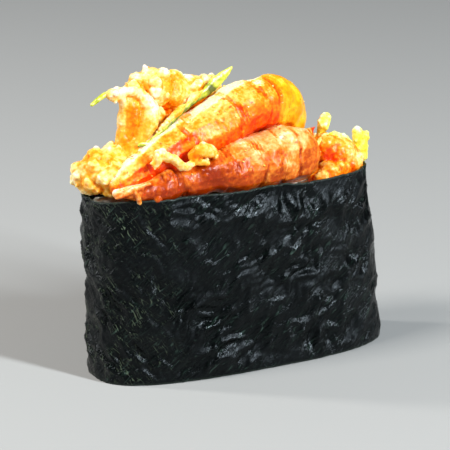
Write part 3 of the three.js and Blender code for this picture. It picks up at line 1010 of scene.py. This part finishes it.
# %% [markdown]
# The relief has three parts. Broad swells come from the rice behind. Wrinkles are sharp crests with
# flat facets between, drawn out along a slant that changes from the front to the left end, and in
# patches, as only damp parts pucker. The fold is where the front shrimp leans on the rim. All of it
# calms down at the foot, where the block stands on the board.

# %% The strip's relief
WRINKLE_SLANT = math.radians(40)  # of the front's wrinkles, up and to the right
END_SLANT = math.radians(-55)  # of those at the left end, down and to the right


def wrinkles(along_mm, up_mm, warp, slant):
    """Sharp crests that run along the slant, in three sizes, with flat facets between."""
    run = along_mm * math.cos(slant) + up_mm * math.sin(slant)
    across = -along_mm * math.sin(slant) + up_mm * math.cos(slant) + warp
    height = 0
    for length, width, amount in ((10, 3.4, 0.8), (5, 1.9, 0.5), (2.6, 1.1, 0.28)):
        crest = noise.noise(Vector((run / length, across / width, length)))
        height += amount * (0.4 - min(1.0, 2.2 * abs(crest)))
    return height


def strip_relief(along_mm, up_mm, place):
    """How far a point of the strip stands out, in mm."""
    swell = 0.45 * noise.noise(place / 8) + 0.25 * noise.noise(place / 4.2)
    warp = 2.4 * noise.noise(place / 5 + Vector((7, 0, 0)))
    front = wrinkles(along_mm, up_mm, warp, WRINKLE_SLANT)
    end = wrinkles(along_mm, up_mm, warp, END_SLANT)
    turn = noise.noise(place / 9 + Vector((0, 5, 0))) - (place.x + 18) / 16
    share = min(1.0, max(0.0, 0.5 + 1.5 * turn))
    patch = min(1.0, max(0.3, 0.7 + 1.1 * noise.noise(place / 6.5 + Vector((0, 0, 9)))))
    # The heavy front shrimp presses the rim in, so a fold stands out 5 mm below the rim.
    below_rim = HEIGHT - up_mm - 0.8 * noise.noise(Vector((along_mm / 4, 8, 0)))
    pressed = math.exp(-((place.x - 6) / 13) ** 2) if place.y < 0 else 0
    fold = 0.7 * math.exp(-((below_rim - 5) / 1.7) ** 2) - 0.4 * math.exp(-((below_rim - 1) / 2) ** 2)
    calm = smooth_share(up_mm, -0.5, 3)
    return calm * (swell + patch * (front + (end - front) * share)) + pressed * fold + 0.05


print("slants:", [round(math.degrees(slant)) for slant in (WRINKLE_SLANT, END_SLANT)], "degrees")

# %% [markdown]
# A strip can be bent in a modifier too, but then its two laps can't be kept apart. Here each point of
# a flat grid is moved to its place on the roll. The rim waves a little, since rice is soft, and both
# cut edges fray. Solidify then gives the sheet its thickness, inwards, so that the face stays put.

# %% Roll the strip
CELL = 0.33  # mm
RIM_WAVE = 0.5  # mm
RIM_RISE = 0.75  # mm more at the left end of the front, below the left lump
FRAY = 0.18  # mm
EDGE_ONLY = 12  # power of the share of the width: the fraying fades within some 6 mm of the cut
columns, rows = round(STRIP / CELL), round(HEIGHT / CELL)
shape = bmesh.new()
shape.loops.layers.uv.new("flat_sheet")
bmesh.ops.create_grid(shape, x_segments=columns, y_segments=rows, size=0.5, calc_uvs=True)
nori = new_piece("nori_strip", shape)
flat = read(nori.data, "co")
along_mm = (flat[:, 0] + 0.5) * STRIP
up_share = flat[:, 1] + 0.5
rim = np.array([noise.noise(Vector((s / 9, 0.5, 0))) for s in along_mm]) * RIM_WAVE
rim_place = roll(along_mm, np.full(len(along_mm), float(HEIGHT)))
near_left = np.exp(-((rim_place[:, 0] + 22) / 5) ** 2) * (rim_place[:, 1] < 0)
rim = rim + RIM_RISE * near_left
frayed = np.array([noise.noise(Vector((s / 1.1, 4.5, 0))) for s in along_mm]) * FRAY
up_mm = up_share * (HEIGHT + rim - 0.15) + frayed * (up_share ** EDGE_ONLY)
up_mm = up_mm + (0.12 + frayed * 0.6) * (1 - up_share) ** EDGE_ONLY
smooth_places = roll(along_mm, up_mm)
out = np.array([strip_relief(s, u, Vector(p)) for s, u, p in zip(along_mm, up_mm, smooth_places)])
nori.data.vertices.foreach_set("co", (roll(along_mm, up_mm, out) * MM).ravel())
nori.data.update()
wall = nori.modifiers.new("sheet_thickness", "SOLIDIFY")
wall.thickness = SHEET * MM
wall.offset = -1
print("nori strip", columns, "x", rows, "squares")
print("relief from", round(out.min(), 1), "to", round(out.max(), 1), "mm")

# %% [markdown]
# ## Toasted nori
#
# Toasting turns the sheet near black with a green cast. Its face is a felt of flattened fibres with
# a half gloss, so light catches in fine slanting streaks. At the left end pale green streaks are
# painted in clusters, partly thin spots of the sheet and partly painted glints of the edge light. The
# material reads the strip's own flat coordinates, so that the fibres follow the sheet round.

# %% Nori colour
nori_paper, tree, surface = new_material("toasted_nori_sheet")
sheet_place = add(tree, "UVMap")
in_mm = add(tree, "Mapping", {"Vector": sheet_place.outputs[0], "Scale": (STRIP, HEIGHT, 1)})
# Bundles of fibres, 2.5 mm long and 0.55 mm wide. Real ones are finer. These are drawn as coarse as
# they need to show.
turned = add(tree, "Mapping", {"Vector": in_mm.outputs[0], "Rotation": (0, 0, -WRINKLE_SLANT)})
fibre_way = add(tree, "Mapping", {"Vector": turned.outputs[0], "Scale": (0.4, 1.8, 1)})
fibres = add(tree, "TexNoise", {"Vector": fibre_way.outputs[0], "Scale": 1.0, "Detail": 3.0,
                                "Roughness": 0.55, "Distortion": 0.8})
# Specks of 0.6 mm, and patches of 6 mm that say where specks and where fibres show.
specks = add(tree, "TexNoise", {"Vector": in_mm.outputs[0], "Scale": 1 / 0.6, "Detail": 3.0,
                                "Roughness": 0.6})
patches = add(tree, "TexNoise", {"Vector": in_mm.outputs[0], "Scale": 1 / 6, "Detail": 2.0})
greens = add(tree, "ValToRGB", {0: fibres.outputs[0]})
set_ramp(greens, (0.46, "010202"), (0.56, "040706"), (0.63, "0D1612"), (0.74, "34443C"))
blacks = add(tree, "ValToRGB", {0: specks.outputs[0]})
set_ramp(blacks, (0.5, "010202"), (0.62, "060A09"), (0.72, "222C26"))
where = add(tree, "MapRange", {"Value": patches.outputs[0], 1: 0.4, 2: 0.6, 3: 0.0, 4: 1.0})
felt = add(tree, "Mix", {0: where.outputs[0], 6: blacks.outputs[0], 7: greens.outputs[0]},
           data_type="RGBA")
# Towards the left end pale green streaks show in clusters: partly thin spots of the sheet, where single
# green fibres show, and partly painted glints of the edge light.
body_place = add(tree, "TexCoord")
body_axes = add(tree, "SeparateXYZ", {0: body_place.outputs["Object"]})
left_end_share = add(tree, "MapRange", {"Value": body_axes.outputs[0], 1: -0.014, 2: -0.026, 3: 0.0, 4: 1.0})
end_turned = add(tree, "Mapping", {"Vector": in_mm.outputs[0], "Rotation": (0, 0, -END_SLANT)})
end_way = add(tree, "Mapping", {"Vector": end_turned.outputs[0], "Scale": (0.45, 1.6, 1)})
end_fibres = add(tree, "TexNoise", {"Vector": end_way.outputs[0], "Scale": 1.0, "Detail": 4.0,
                                    "Distortion": 2.0})
streaked = add(tree, "MapRange", {"Value": end_fibres.outputs[0], 1: 0.58, 2: 0.72, 3: 0.0, 4: 0.8})
clustered = add(tree, "Math", {0: streaked.outputs[0], 1: where.outputs[0]}, operation="MULTIPLY")
pale_streaks_and_glints = add(tree, "Math", {0: left_end_share.outputs[0], 1: clustered.outputs[0]}, operation="MULTIPLY")
sheet_colour = add(tree, "Mix", {0: pale_streaks_and_glints.outputs[0], 6: felt.outputs[2], 7: colour("68755E")},
                   data_type="RGBA")
# The cut edges are painted pale: partly frayed fibres and partly painted highlight where the edges catch
# the light.
sheet_axes = add(tree, "SeparateXYZ", {0: sheet_place.outputs[0]})
from_middle = add(tree, "Math", {0: sheet_axes.outputs[1], 1: 0.5}, operation="SUBTRACT")
edge_share = add(tree, "Math", {0: from_middle.outputs[0]}, operation="ABSOLUTE")
frayed_edge_and_highlight = add(tree, "MapRange", {"Value": edge_share.outputs[0], 1: 0.49, 2: 0.5, 3: 0.0, 4: 0.3})
edged_colour = add(tree, "Mix", {0: frayed_edge_and_highlight.outputs[0], 6: sheet_colour.outputs[2],
                                 7: colour("4E5C50")}, data_type="RGBA")
print("nori colour:", len(tree.nodes), "nodes")

# %% [markdown]
# The gloss follows the fibres, and two bumps tilt it: one from the bundles, and one from single
# fibres. The folds and wrinkles are real shape, so the bumps stay small.

# %% Nori gloss
streak_gloss = add(tree, "MapRange", {"Value": fibres.outputs[0], 1: 0.4, 2: 0.6, 3: 0.22, 4: 0.11})
# Damp from the rice has made some parts matt, each about 6 mm across.
damp = add(tree, "MapRange", {"Value": patches.outputs[0], 1: 0.36, 2: 0.54, 3: 0.26, 4: 0.0})
gloss = add(tree, "Math", {0: streak_gloss.outputs[0], 1: damp.outputs[0]}, operation="ADD")
low_bump = add(tree, "Bump", {"Height": fibres.outputs[0], "Strength": 0.8, "Distance": 0.0003})
# Single fibres, drawn 0.2 mm apart, which break each glint into fine slanting lines.
line_way = add(tree, "Mapping", {"Vector": turned.outputs[0], "Scale": (0.8, 5, 1)})
lines = add(tree, "TexNoise", {"Vector": line_way.outputs[0], "Scale": 1.0, "Detail": 2.0,
                               "Distortion": 0.6})
fine_bump = add(tree, "Bump", {"Height": lines.outputs[0], "Strength": 0.6, "Distance": 0.00016,
                               "Normal": low_bump.outputs[0]})
# Dry nori has only half a gloss, faintly blue against the black.
paper = add(tree, "BsdfPrincipled", {
    "Base Color": edged_colour.outputs[2], "Roughness": gloss.outputs[0],
    "Normal": fine_bump.outputs[0], "IOR": 1.45, "Specular IOR Level": 0.2,
    "Specular Tint": (0.84, 0.93, 1.0, 1),
})
tree.links.new(paper.outputs[0], surface)
hand_over(nori, "nori", nori_paper, "nori_band")

# %% [markdown]
# ## The rice
#
# Sushi rice is short grained: 5 mm long and 2.7 mm thick when cooked, and it sticks together. A core
# fills the band, a little smaller than the solid, and real grains lie all over its top and its
# underside, the only places where rice can be seen.

# %% Rice material
rice_white, tree, surface = new_material("cooked_sushi_rice")
texture = add(tree, "TexCoord")
in_mm = add(tree, "Mapping", {"Vector": texture.outputs["Object"], "Scale": IN_MM})
# Milky and moist: light goes deep into a grain, and a wet film shines on it.
milky = add(tree, "TexNoise", {"Vector": in_mm.outputs[0], "Scale": 1 / 2.5, "Detail": 2.0})
ramp = add(tree, "ValToRGB", {0: milky.outputs[0]})
set_ramp(ramp, (0.3, "DAD4C2"), (0.55, "EFEBDD"), (0.75, "FAF8F0"))
grain_skin = add(tree, "BsdfPrincipled", {
    "Base Color": ramp.outputs[0], "Roughness": 0.32, "Subsurface Weight": 0.4,
    "Subsurface Radius": (1.0, 0.9, 0.7), "Subsurface Scale": 1.0 * MM, "Coat Weight": 0.25,
    "Coat Roughness": 0.15,
})
tree.links.new(grain_skin.outputs[0], surface)
print("rice material:", len(tree.nodes), "nodes")

# %% [markdown]
# The core starts as a copy of the solid. Its loose triangles are merged, it is fused into an even
# skin, and that skin is drawn in to leave room for the grains.

# %% Rice core
CORE_SHRINK = 0.9  # mm
CORE_VOXEL = 0.8  # mm, coarse, because grains cover it
shape = bmesh.new()
shape.from_mesh(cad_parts["rice_block"].data)
bmesh.ops.remove_doubles(shape, verts=shape.verts, dist=0.001 * MM)
core = fuse("rice_core", shape, voxel=CORE_VOXEL, soften=2)
push(core, 0.25 * swells(core, 2.5) - CORE_SHRINK)
print("rice core", len(core.data.polygons), "faces")

# %% [markdown]
# A grain is a stretched ball of a few faces, rounded by Subdivision Surface, because there are some
# two hundred. Faces of the core are taken in a random order, and a grain is laid on each that is
# level, clear of the wall and far enough from the grains already there. Grains at the bottom are
# pressed flat on the board.

# %% Rice grains
GRAIN_LENGTH, GRAIN_THICKNESS = 5.2, 2.7  # mm
GRAIN_INSET = 3.2  # mm, from the wall to the middle of the outermost grains
GRAIN_GAP = GRAIN_THICKNESS * 0.8  # mm, the least distance between two middles
LEVEL = 0.6  # the least share of a face's normal that points up or down
dice = random.Random(23)
faces = [face for face in core.data.polygons if abs(face.normal.z) > LEVEL]
dice.shuffle(faces)
taken = []
grains = bmesh.new()
for face in faces:
    centre = face.center / MM
    rise = centre.z / HEIGHT
    scale = 1 + (TOP_SCALE - 1) * rise
    from_wall = abs((centre.x - LEAN * rise) / (HALF_LENGTH * scale - GRAIN_INSET)) ** PLAN_POWER
    from_wall += abs(centre.y / (HALF_WIDTH * scale - GRAIN_INSET)) ** PLAN_POWER
    if from_wall > 1 or any((centre - other).length < GRAIN_GAP for other in taken):
        continue
    taken.append(centre)
    size = dice.uniform(0.88, 1.1)
    out = 0.1 if face.normal.z > 0 else -0.1
    turn = Matrix.Rotation(dice.uniform(0, math.pi), 4, "Z") @ Matrix.Rotation(dice.gauss(0, 0.22), 4, "Y")
    place = (Matrix.Translation((centre + Vector((0, 0, out))) * MM) @ turn
             @ Matrix.Diagonal((GRAIN_LENGTH / GRAIN_THICKNESS, 1, 0.95, 1)))
    bmesh.ops.create_icosphere(grains, subdivisions=1, radius=GRAIN_THICKNESS / 2 * size * MM,
                               matrix=place)
for corner in grains.verts:
    corner.co.z = max(corner.co.z, 0)
rice = new_piece("rice_grains", grains)
smooth = rice.modifiers.new("round", "SUBSURF")
smooth.levels = smooth.render_levels = 1
print(len(taken), "grains")
hand_over(core, "rice", rice_white, "rice_block")
hand_over(rice, "rice", rice_white)

# %% Sizes and finish
visual_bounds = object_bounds()
sizes = {
    "cad": [list(corner) for corner in cad_bounds],
    "visual": [list(corner) for corner in visual_bounds],
}
for name, corners in sizes.items():
    print(name, [[round(value / MM, 2) for value in corner] for corner in corners])
